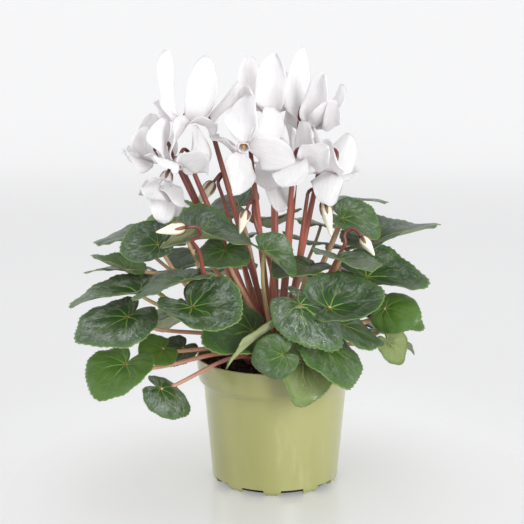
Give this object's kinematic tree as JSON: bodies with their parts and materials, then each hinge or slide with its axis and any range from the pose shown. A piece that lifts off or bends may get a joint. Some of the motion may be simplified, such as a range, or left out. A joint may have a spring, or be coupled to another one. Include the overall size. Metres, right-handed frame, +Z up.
{
  "type": "potted cyclamen",
  "caption": "White-flowered cyclamen house plant with patterned heart-shaped leaves, growing from a tuber in a pale green round plastic nursery pot.",
  "frame": {"origin": "centre of the pot's flat underside, on the surface it stands on", "axes": "+Z up out of the pot, -Y towards the front, the side the plant is looked at from, +X to the right as seen from the front"},
  "size_m": [0.2771, 0.2244, 0.328],
  "materials": {
    "pot_plastic": "satin",
    "tuber_skin": "corky skin",
    "potting_soil": "loose damp peat",
    "leaf_green": "waxy leaf with pale veins",
    "leaf_stalk": "smooth fleshy stalk",
    "flower_stalk_red": "smooth fleshy stalk",
    "petal_white": "silky petal",
    "bud_cream": "silky petal",
    "anther_yellow": "powdery"
  },
  "bodies": {
    "root": {"pot": "pot_plastic", "tuber": "tuber_skin", "soil": "potting_soil", "leaf_01": "leaf_green", "leaf_02": "leaf_green", "leaf_03": "leaf_green", "leaf_04": "leaf_green", "leaf_05": "leaf_green", "leaf_06": "leaf_green", "leaf_07": "leaf_green", "leaf_08": "leaf_green", "leaf_09": "leaf_green", "leaf_10": "leaf_green", "leaf_11": "leaf_green", "leaf_12": "leaf_green", "leaf_13": "leaf_green", "leaf_14": "leaf_green", "leaf_15": "leaf_green", "leaf_16": "leaf_green", "leaf_17": "leaf_green", "leaf_18": "leaf_green", "leaf_19": "leaf_green", "leaf_20": "leaf_green", "leaf_21": "leaf_green", "leaf_22": "leaf_green", "leaf_23": "leaf_green", "leaf_24": "leaf_green", "leaf_25": "leaf_green", "leaf_26": "leaf_green", "leaf_27": "leaf_green", "leaf_28": "leaf_green", "leaf_29": "leaf_green", "leaf_30": "leaf_green", "leaf_31": "leaf_green", "leaf_32": "leaf_green", "flower_stalk_01": "flower_stalk_red", "flower_stalk_02": "flower_stalk_red", "flower_stalk_03": "flower_stalk_red", "flower_stalk_04": "flower_stalk_red", "flower_stalk_05": "flower_stalk_red", "flower_stalk_06": "flower_stalk_red", "flower_stalk_07": "flower_stalk_red", "flower_stalk_08": "flower_stalk_red", "flower_stalk_09": "flower_stalk_red", "flower_stalk_10": "flower_stalk_red", "corolla_01": "petal_white", "corolla_02": "petal_white", "corolla_03": "petal_white", "corolla_04": "petal_white", "corolla_05": "petal_white", "corolla_06": "petal_white", "corolla_07": "petal_white", "corolla_08": "petal_white", "corolla_09": "petal_white", "corolla_10": "petal_white", "bud_01": "bud_cream", "bud_02": "bud_cream", "bud_03": "bud_cream", "bud_04": "bud_cream", "bud_05": "bud_cream"}
  },
  "joints": []
}
